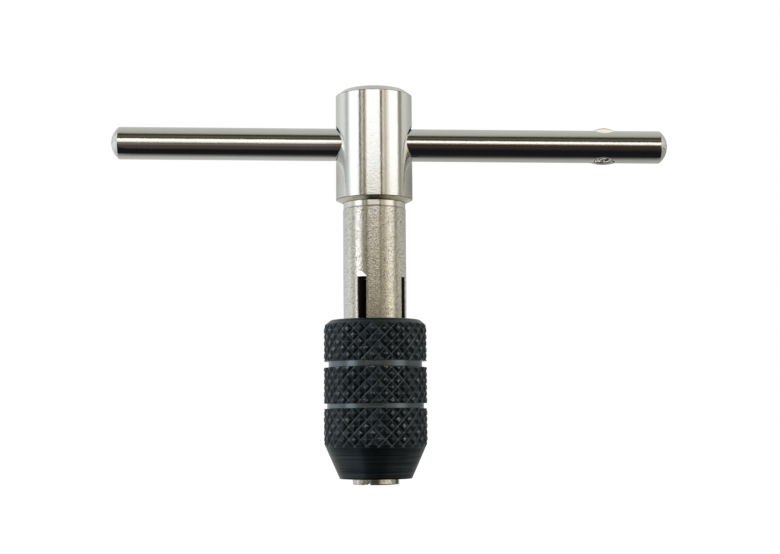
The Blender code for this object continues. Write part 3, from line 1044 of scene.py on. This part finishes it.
def surface_diagonals(rows, heights):
    """Which diagonal of each quad lies in the surface: True for first to third corner."""

    def both(values):
        below = np.roll(values, -1, axis=0)
        return values + np.roll(below, -1, axis=1), below + np.roll(values, -1, axis=1)

    first_r, second_r = both(np.hypot(rows[..., 0], rows[..., 1]))
    first_height, second_height = both(heights)
    # in a hollow the deeper diagonal is the true one, on a ridge the higher
    mean = (first_height + second_height) / 4
    return np.where(mean < 0.5, first_r < second_r, first_r > second_r)


def build_nut():
    parts = NutRows()
    nut_outside(parts)
    nut_inside(parts)
    rows = np.array(parts.rows)
    split = surface_diagonals(rows, np.array(parts.values["knurl"]))
    nut = make("nut", *grid(rows, closed_rows=True, split=split), MAT_NUT, sharp=24)
    parts.store(nut.data)
    assign(nut, rides="nut", replaces="chuck_nut")


def build_ring():
    centre_r, wire_r = 7.35, 0.5
    centre_z = (ring_low[2] + ring_high[2]) / 2
    profile = [
        (centre_r + wire_r * math.cos(angle), centre_z + wire_r * math.sin(angle))
        for angle in np.linspace(0, -FULL_TURN, 25)[:-1]
    ]
    ring = make("friction_ring", *revolve(profile, 128, closed=True), MAT_RUBBER)
    assign(ring, rides="nut_ring", replaces="nut_friction_ring")


# ------------------------------------------------------------------------------------------
# Sliding bar with domed ends and two raised ears, one above and one below
# ------------------------------------------------------------------------------------------
BAR_SEGMENTS = 168
BAR_SEED = 5
END_DROP, END_ROUND = 0.06, 0.16  # rounded edge of the barrel: inward and along
END_STEPS = (0.0, 0.02, 0.05, 0.09, 0.16)
RAGGED_ROUGHNESS, TORN_ROUGHNESS = 0.030, 0.004
# centre angle, offset along the bar, half length, rise, half angle, how torn
EARS = (
    (0.0, 0.12, 2.40, 0.70, math.radians(43), 0.35),
    (math.pi, -0.20, 2.80, 0.52, math.radians(39), 1.0),
)


def bar_section(x, around):
    """Radius, tearing and dark-line strength round the bar at x."""
    radius = np.full(BAR_SEGMENTS, BAR_R)
    torn = np.zeros(BAR_SEGMENTS)
    line = np.zeros(BAR_SEGMENTS)
    for centre, offset, half_length, rise, half_angle, tearing in EARS:
        size = 1 - ((x - EAR_X - offset) / half_length) ** 2
        if size <= 0:
            continue
        crest = BAR_R + rise * size
        limit = half_angle * math.sqrt(size)
        off = np.abs((around - centre + math.pi) % FULL_TURN - math.pi)
        inside = off < limit
        # a straight facet from the crest to the round of the bar, a little hollow
        foot_y, foot_z = BAR_R * math.sin(limit), BAR_R * math.cos(limit)
        slope = foot_y * np.cos(off) + (crest - foot_z) * np.sin(off)
        straight = crest * foot_y / np.maximum(slope, 1e-9)
        share = np.clip(off / max(limit, 1e-6), 0, 1)
        hollow = 0.16 * size * np.sin(math.pi * share)
        blunt = 0.10 * size * np.exp(-((off / 0.06) ** 2))
        radius = np.where(inside, straight - hollow - blunt, radius)
        torn = np.where(inside, tearing, torn)
        if tearing > 0.5:
            # the lower ear is smooth along its crest
            torn = np.where(inside & (off < 0.17), 0.0, torn)
            lines = np.maximum((share - 0.84) / 0.08, (0.24 - off) / 0.06)
        else:
            lines = np.maximum((0.095 - off) / 0.04, (share - 0.86) / 0.06)
        line = np.where(inside, np.clip(lines, 0, 1), line)
    return radius, torn, line


def surface_noise(shape):
    noise = np.random.default_rng(BAR_SEED).normal(0, 1, shape)
    for _ in range(2):
        rolled = [np.roll(noise, step, axis) for axis in (0, 1) for step in (1, -1)]
        noise = (noise + rolled[0] + rolled[1] + rolled[2] + rolled[3]) / 2.2
    return noise


def bar_rings():
    """Rings from the left dome to the right one, in the bar's own frame along X."""
    around = 2 * math.pi * np.arange(BAR_SEGMENTS) / BAR_SEGMENTS  # from the top towards -Y
    rings = RingRows(BAR_SEGMENTS, ("torn", "ear_line"))

    def ring(x, radius, **values):
        rings.add(x, -radius * np.sin(around), radius * np.cos(around), **values)

    end_r = BAR_R - END_DROP
    dome_angle = math.asin(end_r / DOME_R)
    sag = DOME_R * (1 - math.cos(dome_angle))
    right = BAR_LEFT + BAR_LENGTH
    barrel_left, barrel_right = BAR_LEFT + sag, right - sag
    stations = [
        *(barrel_left + step for step in END_STEPS),
        *np.linspace(barrel_left + 3, EAR_X - 3.2, 40),
        *np.linspace(EAR_X - 3.0, EAR_X + 3.0, 61),
        *np.linspace(EAR_X + 3.4, barrel_right - 1, 6),
        *(barrel_right - step for step in reversed(END_STEPS)),
    ]
    dome = np.linspace(0, dome_angle, 14)[1:-1]

    for angle in dome:
        ring(BAR_LEFT + DOME_R * (1 - math.cos(angle)), DOME_R * math.sin(angle))
    ring(barrel_left, end_r)
    noise = surface_noise((len(stations), BAR_SEGMENTS))
    for i, x in enumerate(stations):
        from_end = min(x - barrel_left, barrel_right - x)
        radius, torn, line = bar_section(x, around)
        if from_end < END_ROUND:
            curve = math.sqrt(max(0.0, 1 - (1 - from_end / END_ROUND) ** 2))
            radius = np.full(BAR_SEGMENTS, BAR_R - END_DROP * (1 - curve))
        roughness = np.where(torn > 0.5, RAGGED_ROUGHNESS, TORN_ROUGHNESS) * (torn > 0)
        ring(x, radius + roughness * noise[i], torn=torn, ear_line=line)
    ring(barrel_right, end_r)
    for angle in dome[::-1]:
        ring(right - DOME_R * (1 - math.cos(angle)), DOME_R * math.sin(angle))
    return rings


def build_bar():
    rings = bar_rings()
    points, faces = grid(rings.rows)
    left_pole = len(points)
    last_ring = left_pole - BAR_SEGMENTS
    verts = [*map(tuple, points), (BAR_LEFT, 0, 0), (BAR_LEFT + BAR_LENGTH, 0, 0)]
    for j in range(BAR_SEGMENTS):
        k = (j + 1) % BAR_SEGMENTS
        faces.append((left_pole, j, k))
        faces.append((left_pole + 1, last_ring + k, last_ring + j))
    bar = make("sliding_bar", verts, faces, MAT_BAR, sharp=26)
    rings.store(bar.data, poles=2)
    # the doubled rings where a dome meets the barrel become one ring
    fix_normals(bar.data, merge=1e-7)
    shade(bar.data, sharp=26)
    tilt = Matrix.Rotation(BAR_TILT, 4, "Y")
    bar.data.transform(Matrix.Translation((0, 0, BAR_Z * MM)) @ tilt)
    assign(bar, rides="bar", replaces="t_bar")
    return bar


# ------------------------------------------------------------------------------------------
# Detent: ball, spring and plug
# ------------------------------------------------------------------------------------------
def build_ball():
    work = bmesh.new()
    radius = (ball_high[2] - ball_low[2]) / 2
    bmesh.ops.create_icosphere(work, subdivisions=5, radius=radius * MM)
    mesh = bpy.data.meshes.new("ball")
    work.to_mesh(mesh)
    work.free()
    mesh.shade_smooth()
    mesh.materials.append(MAT_BALL)
    ball = link(bpy.data.objects.new("ball", mesh))
    ball.location = (0, 0, (ball_low[2] + ball_high[2]) / 2 * MM)
    assign(ball, rides="spindle", replaces="detent_ball")


def build_spring():
    wire_r, coil_r = 0.20, 1.15
    turns, steps_per_turn = 4.0, 48
    low, high = spring_low[2] + wire_r, spring_high[2] - wire_r
    count = int(turns * steps_per_turn) + 1
    rows = []
    for i in range(count):
        share = i / (count - 1)
        angle = FULL_TURN * turns * share
        # the end coils lie closer together
        lift = smoothstep((share - 0.10) / 0.80) * 0.85 + 0.15 * share
        out = np.array((math.cos(angle), math.sin(angle), 0))
        up = np.array((0, 0, 1.0))
        centre = coil_r * out + (low + (high - low) * lift) * up
        rows.append([
            centre + wire_r * (math.cos(around) * out + math.sin(around) * up)
            for around in np.linspace(0, FULL_TURN, 13)[:-1]
        ])
    spring = make("coil_spring", *grid(rows, caps=True), MAT_SPRING, sharp=50)
    assign(spring, rides="spindle", replaces="detent_spring")


def build_plug():
    radius, bottom = plug_high[0], plug_low[2]
    profile = fillet([
        (0, 0, 0),
        (radius - 0.05, 0, 0.03),
        (radius, -0.07, 0.03),
        (radius, bottom + 0.1, 0.05),
        (radius - 0.1, bottom, 0.05),
        (0, bottom, 0),
    ])
    plug = make("plug", *revolve(profile, 96), MAT_PLUG)
    assign(plug, rides="spindle", replaces="detent_plug")


# ------------------------------------------------------------------------------------------
# Floor and world (metres)
# ------------------------------------------------------------------------------------------
def build_floor():
    """A near-white floor that reflections do not show."""
    half = 6.0
    z = TIP_Z * MM - 0.0004
    corners = [(-half, -half, z), (half, -half, z), (half, half, z), (-half, half, z)]
    mesh = bpy.data.meshes.new("floor")
    mesh.from_pydata(corners, [], [(0, 1, 2, 3)])
    material = bpy.data.materials.new("floor")
    material.use_nodes = True
    inputs = material.node_tree.nodes["Principled BSDF"].inputs
    inputs["Base Color"].default_value = (0.10, 0.10, 0.10, 1)
    inputs["Roughness"].default_value = 0.9
    inputs["Specular IOR Level"].default_value = 0.0
    inputs["Emission Color"].default_value = (1, 1, 1, 1)
    inputs["Emission Strength"].default_value = 0.985
    mesh.materials.append(material)
    floor = link(bpy.data.objects.new("floor", mesh))
    floor.visible_glossy = False


# Colours of the light tent: (degrees, red, green, blue). Elevation is 0 at the horizon;
# azimuth is 0 towards the camera (-Y) and positive to the right (+X).
FRONT_BY_ELEVATION = (
    (-90, 0.040, 0.040, 0.034), (-80, 0.011, 0.012, 0.015), (-44, 0.009, 0.009, 0.012),
    (-35, 0.016, 0.014, 0.014), (-24, 0.040, 0.030, 0.026), (-13, 0.046, 0.032, 0.022),
    (-6, 0.046, 0.030, 0.019), (-1, 0.075, 0.055, 0.035), (2.0, 0.15, 0.125, 0.09),
    (3.2, 0.39, 0.335, 0.225), (8.2, 0.46, 0.395, 0.275), (9.3, 1.24, 1.24, 1.24),
    (21.5, 1.24, 1.24, 1.24), (25.5, 0.090, 0.075, 0.050), (32, 0.080, 0.068, 0.045),
    (40, 0.12, 0.11, 0.078), (46, 0.095, 0.088, 0.062), (52, 0.034, 0.032, 0.018),
    (57, 0.050, 0.048, 0.030), (62, 0.20, 0.20, 0.17), (68, 0.41, 0.415, 0.375),
    (74, 0.465, 0.475, 0.435), (90, 0.51, 0.525, 0.49),
)
BACK_BY_ELEVATION = (
    (-90, 0.040, 0.040, 0.034), (-80, 0.10, 0.10, 0.085), (-70, 0.30, 0.30, 0.27),
    (-57, 0.46, 0.46, 0.43), (-30, 0.52, 0.53, 0.51), (0, 0.57, 0.58, 0.56),
    (41, 0.62, 0.62, 0.60), (60, 0.55, 0.555, 0.52), (90, 0.51, 0.52, 0.475),
)
# all round, in a band about the horizon
BAND_BY_AZIMUTH = (
    (-180, 0.56, 0.57, 0.56), (-140, 0.63, 0.64, 0.62), (-110, 0.84, 0.85, 0.82),
    (-101, 0.78, 0.79, 0.78), (-92, 0.48, 0.52, 0.52), (-87, 0.54, 0.59, 0.59),
    (-80, 1.00, 1.02, 1.05), (-77, 1.24, 1.24, 1.26), (-49, 1.24, 1.24, 1.26),
    (-47.5, 1.05, 1.05, 1.03), (-45.5, 0.22, 0.22, 0.20), (-42.0, 0.08, 0.08, 0.065),
    (-40.5, 0.40, 0.39, 0.34), (-37.5, 0.82, 0.79, 0.70), (-34.5, 0.66, 0.63, 0.54),
    (-31, 0.27, 0.24, 0.17), (-28.5, 0.30, 0.27, 0.19), (-25.5, 0.72, 0.68, 0.56),
    (-22.5, 1.08, 1.04, 0.97), (17.2, 1.15, 1.10, 0.96), (18.8, 0.20, 0.15, 0.07),
    (20.0, 0.015, 0.01, 0.0), (22.2, 0.02, 0.015, 0.005), (23.6, 0.55, 0.51, 0.39),
    (26.5, 0.90, 0.85, 0.70), (33.5, 0.48, 0.43, 0.34), (37, 0.74, 0.70, 0.60),
    (43, 0.98, 0.95, 0.87), (49, 1.27, 1.27, 1.26), (74, 1.27, 1.27, 1.27),
    (77, 0.48, 0.47, 0.42), (80, 0.34, 0.33, 0.28), (88.5, 0.27, 0.26, 0.21),
    (91.5, 0.52, 0.51, 0.45), (96, 0.68, 0.68, 0.63), (108, 0.66, 0.67, 0.62),
    (122, 0.56, 0.565, 0.52), (145, 0.43, 0.435, 0.40), (170, 0.52, 0.53, 0.50),
)
# all round, in a narrower band that the shank and the nut reflect
LOW_BAND_BY_AZIMUTH = (
    (-180, 0.56, 0.58, 0.60), (-146, 0.70, 0.75, 0.81), (-126, 0.77, 0.82, 0.85),
    (-112, 0.84, 0.88, 0.91), (-99, 0.84, 0.86, 0.87), (-92, 0.72, 0.74, 0.69),
    (-84, 0.60, 0.60, 0.54), (-80, 0.52, 0.51, 0.47), (-76, 0.70, 0.69, 0.68),
    (-71, 1.45, 1.44, 1.54), (-60, 1.58, 1.56, 1.66), (-56, 1.25, 1.23, 1.25),
    (-50, 0.86, 0.85, 0.82), (-45, 0.52, 0.50, 0.44), (-41, 0.24, 0.22, 0.17),
    (-35, 0.29, 0.27, 0.21), (-28, 0.15, 0.13, 0.09), (-25, 0.17, 0.145, 0.10),
    (-21.5, 0.50, 0.44, 0.33), (17, 0.50, 0.44, 0.32), (19.5, 0.20, 0.17, 0.10),
    (23, 0.20, 0.17, 0.10), (26, 0.46, 0.405, 0.295), (34, 0.45, 0.395, 0.29),
    (40.5, 0.58, 0.52, 0.39), (48.3, 0.87, 0.81, 0.65), (60, 1.10, 1.04, 0.88),
    (69, 0.98, 0.93, 0.78), (74, 0.72, 0.68, 0.55), (79, 0.44, 0.41, 0.31),
    (86, 0.43, 0.41, 0.31), (94, 0.60, 0.58, 0.47), (101, 0.65, 0.64, 0.54),
    (114, 0.63, 0.64, 0.56), (133, 0.55, 0.57, 0.52), (170, 0.50, 0.52, 0.50),
)
# Patches near the ground, tan on the right and grey on the left:
# azimuth range and softness, elevation range and softness, strength, colour
LOW_PATCHES = (
    ((36.0, 84.0), 2.0, (-20.0, -1.2), 0.6, 0.92, (0.80, 0.74, 0.58)),
    ((40.0, 84.0), 2.0, (-58.0, -20.0), 3.0, 0.92, (0.20, 0.19, 0.15)),
    ((-92.0, -40.0), 2.0, (-58.0, -1.6), 0.6, 0.92, (0.46, 0.50, 0.52)),
    ((92.0, 160.0), 4.0, (-40.0, 2.5), 2.0, 0.80, (0.30, 0.31, 0.30)),
)
MAX_STOPS = 32  # a colour ramp holds no more


def ramp(value, limit, stops):
    """Colours by a value between -limit and limit. A list that is too long is cut in two."""
    if len(stops) > MAX_STOPS:
        half = len(stops) // 2
        above = calc("GREATER_THAN", value, stops[half][0])
        return mix(above, ramp(value, limit, stops[: half + 1]), ramp(value, limit, stops[half:]))
    low, extent = -limit, 2 * limit
    node = add_node(value.tree, "ShaderNodeValToRGB", {0: (value - low) / extent})
    node.color_ramp.interpolation = "LINEAR"
    elements = node.color_ramp.elements
    while len(elements) > 1:
        elements.remove(elements[-1])
    elements[0].position = (stops[0][0] - low) / extent
    elements[0].color = (*stops[0][1:], 1)
    for degrees, *colour in stops[1:]:
        elements.new((degrees - low) / extent).color = (*colour, 1)
    return Signal(value.tree, node.outputs[0])


def window(value, over, soft):
    """1 within a range, with soft edges."""
    low, high = over
    rise = span(value, over=(low - soft, low + soft), smooth=True)
    return rise * span(value, over=(high - soft, high + soft), to=(1.0, 0.0), smooth=True)


def tent_pattern(tree):
    """Pale behind and at the sides, white strips left and right, dark low in front."""
    x, y, z = components(coordinates(tree, "Generated"))
    degrees = 180 / math.pi
    azimuth = calc("ARCTAN2", x, y * -1.0) * degrees
    elevation = calc("ARCSINE", z) * degrees

    # by height: the front half, and the back half, which is darker low on the right
    front = ramp(elevation, 90, FRONT_BY_ELEVATION)
    back = ramp(elevation, 90, BACK_BY_ELEVATION)
    level = scaled(back, span(x, over=(-0.03, 0.03), to=(1.04, 0.84), smooth=True))
    below = window(elevation, over=(-100.0, 30.0), soft=10.0)
    ahead = window(abs(azimuth), over=(-200.0, 90.0), soft=4.0)
    pattern = mix(ahead, mix(below, back, level), front)

    # the bands leave out the middle of the front
    outside = 1.0 - window(azimuth, over=(-22.5, 17.6), soft=1.2)
    band = window(elevation, over=(-12.0, 25.0), soft=4.0) * outside
    pattern = mix(band, pattern, ramp(azimuth, 180, BAND_BY_AZIMUTH))

    # the side strips stand taller than the band
    left_strip = window(azimuth, over=(-79.0, -48.0), soft=1.5)
    right_strip = window(azimuth, over=(48.5, 74.8), soft=1.2)
    strips = larger(left_strip, right_strip) * window(elevation, over=(0.0, 60.0), soft=4.0)
    on_right = window(azimuth, over=(0.0, 180.0), soft=1.0)
    pattern = mix(strips, pattern, mix(on_right, (1.24, 1.25, 1.28), (1.26, 1.26, 1.25)))

    low_band = window(elevation, over=(-1.2, 8.5), soft=0.6) * outside
    pattern = mix(low_band, pattern, ramp(azimuth, 180, LOW_BAND_BY_AZIMUTH))

    # a darker edge of the tent behind, weaker on the left
    left_edge = window(azimuth, over=(-182.0, -104.0), soft=3.0) * 0.45
    behind = larger(window(azimuth, over=(96.0, 182.0), soft=3.0), left_edge)
    behind = behind * window(elevation, over=(8.3, 9.75), soft=0.25)
    pattern = cover(pattern, (0.16, 0.155, 0.125), mask=behind, strength=0.52)

    # two darker stretches on the right, at the horizon
    right_front = window(azimuth, over=(18.0, 50.0), soft=2.0)
    lower = larger(right_front, window(azimuth, over=(84.0, 150.0), soft=3.0))
    lower = lower * window(elevation, over=(-1.2, 3.2), soft=0.5)
    pattern = cover(pattern, (0.13, 0.13, 0.11), mask=lower, strength=0.60)

    for across, across_soft, height, height_soft, strength, colour in LOW_PATCHES:
        patch = window(azimuth, across, across_soft) * window(elevation, height, height_soft)
        pattern = cover(pattern, colour, mask=patch, strength=strength)
    return pattern


def build_world():
    """A light tent seen by direction. The camera itself sees plain white."""
    world = bpy.data.worlds.new("tent")
    bpy.context.scene.world = world
    world.use_nodes = True
    tree = world.node_tree
    tree.nodes.clear()
    pattern = tent_pattern(tree)
    seen = wire(tree, "ShaderNodeBackground", {"Color": (1, 1, 1), "Strength": 1.0})
    lit = wire(tree, "ShaderNodeBackground", {"Color": pattern, "Strength": 1.0})
    camera_ray = wire(tree, "ShaderNodeLightPath", {}, "Is Camera Ray")
    choice = wire(tree, "ShaderNodeMixShader", {0: camera_ray, 1: lit, 2: seen})
    add_node(tree, "ShaderNodeOutputWorld", {0: choice})


# ------------------------------------------------------------------------------------------
# Lights and camera (metres)
# ------------------------------------------------------------------------------------------
CARD_Y = -0.45
CARD_LEFT, CARD_RIGHT = -0.20, -0.012
# name, lowest and highest elevation seen from the bar in degrees, radiance, colour
CARDS = (
    ("low_left_a", -2.5, 9.5, 0.62, (1.0, 1.0, 1.0)),
    ("low_left_b", -19.0, 0.0, 0.125, (1.0, 0.97, 0.80)),
    ("low_left_c", -48.0, -19.0, 0.050, (1.0, 0.78, 0.62)),
)


def area_light(name, place, target, width, height, energy, colour):
    data = bpy.data.lights.new(name, "AREA")
    data.shape = "RECTANGLE"
    data.size = width
    data.size_y = height
    data.energy = energy
    data.color = colour
    light = link(bpy.data.objects.new(name, data))
    light.location = place
    light.rotation_mode = "QUATERNION"
    light.rotation_quaternion = (Vector(target) - Vector(place)).to_track_quat("-Z", "Y")
    light.visible_camera = False
    return light


def build_lights(bar):
    # a broad top light that only matt surfaces show: it lifts the torn metal of the ears
    top = area_light(
        "top_fill", place=(0.05, -0.10, 0.45), target=(0.02, 0, -0.02),
        width=0.40, height=0.30, energy=1.5, colour=(1.0, 0.98, 0.94),
    )
    top.visible_glossy = False
    # pale cards low in front that only the left half of the bar reflects
    for name, lowest, highest, radiance, colour in CARDS:
        bottom = BAR_Z * MM - CARD_Y * math.tan(math.radians(lowest))
        upper = BAR_Z * MM - CARD_Y * math.tan(math.radians(highest))
        width, height = CARD_RIGHT - CARD_LEFT, upper - bottom
        x, z = (CARD_LEFT + CARD_RIGHT) / 2, (bottom + upper) / 2
        energy = radiance * math.pi * width * height
        card = area_light(name, (x, CARD_Y, z), (x, 0, z), width, height, energy, colour)
        group = bpy.data.collections.new(name + "_on")
        group.objects.link(bar)
        card.light_linking.receiver_collection = group
        card.visible_diffuse = False


def build_camera():
    data = bpy.data.cameras.new("camera")
    data.sensor_width = 36.0
    data.lens = 67.974
    data.clip_start = 0.01
    data.clip_end = 50
    camera = link(bpy.data.objects.new("camera", data))
    camera.location = (-0.00266, -0.3145, -0.07103)
    tilt, yaw, roll = (math.radians(angle) for angle in (5.57, 1.078, -0.412))
    level = math.cos(tilt)
    look = Vector((math.sin(yaw) * level, math.cos(yaw) * level, math.sin(tilt)))
    right = look.cross(Vector((0, 0, 1))).normalized()
    up = right.cross(look)
    rolled_right = right * math.cos(roll) + up * math.sin(roll)
    rolled_up = up * math.cos(roll) - right * math.sin(roll)
    axes = Matrix((rolled_right, rolled_up, -look)).transposed()
    camera.rotation_mode = "QUATERNION"
    camera.rotation_quaternion = axes.to_quaternion()
    bpy.context.scene.camera = camera


build_spindle()
for finger_index in range(FINGERS):
    build_finger(finger_index)
build_nut()
build_ring()
sliding_bar = build_bar()
build_ball()
build_spring()
build_plug()
build_floor()
build_world()
build_lights(sliding_bar)
build_camera()
scene = bpy.context.scene
scene.view_settings.view_transform = "Standard"
scene.view_settings.look = "None"
scene.cycles.use_denoising = True
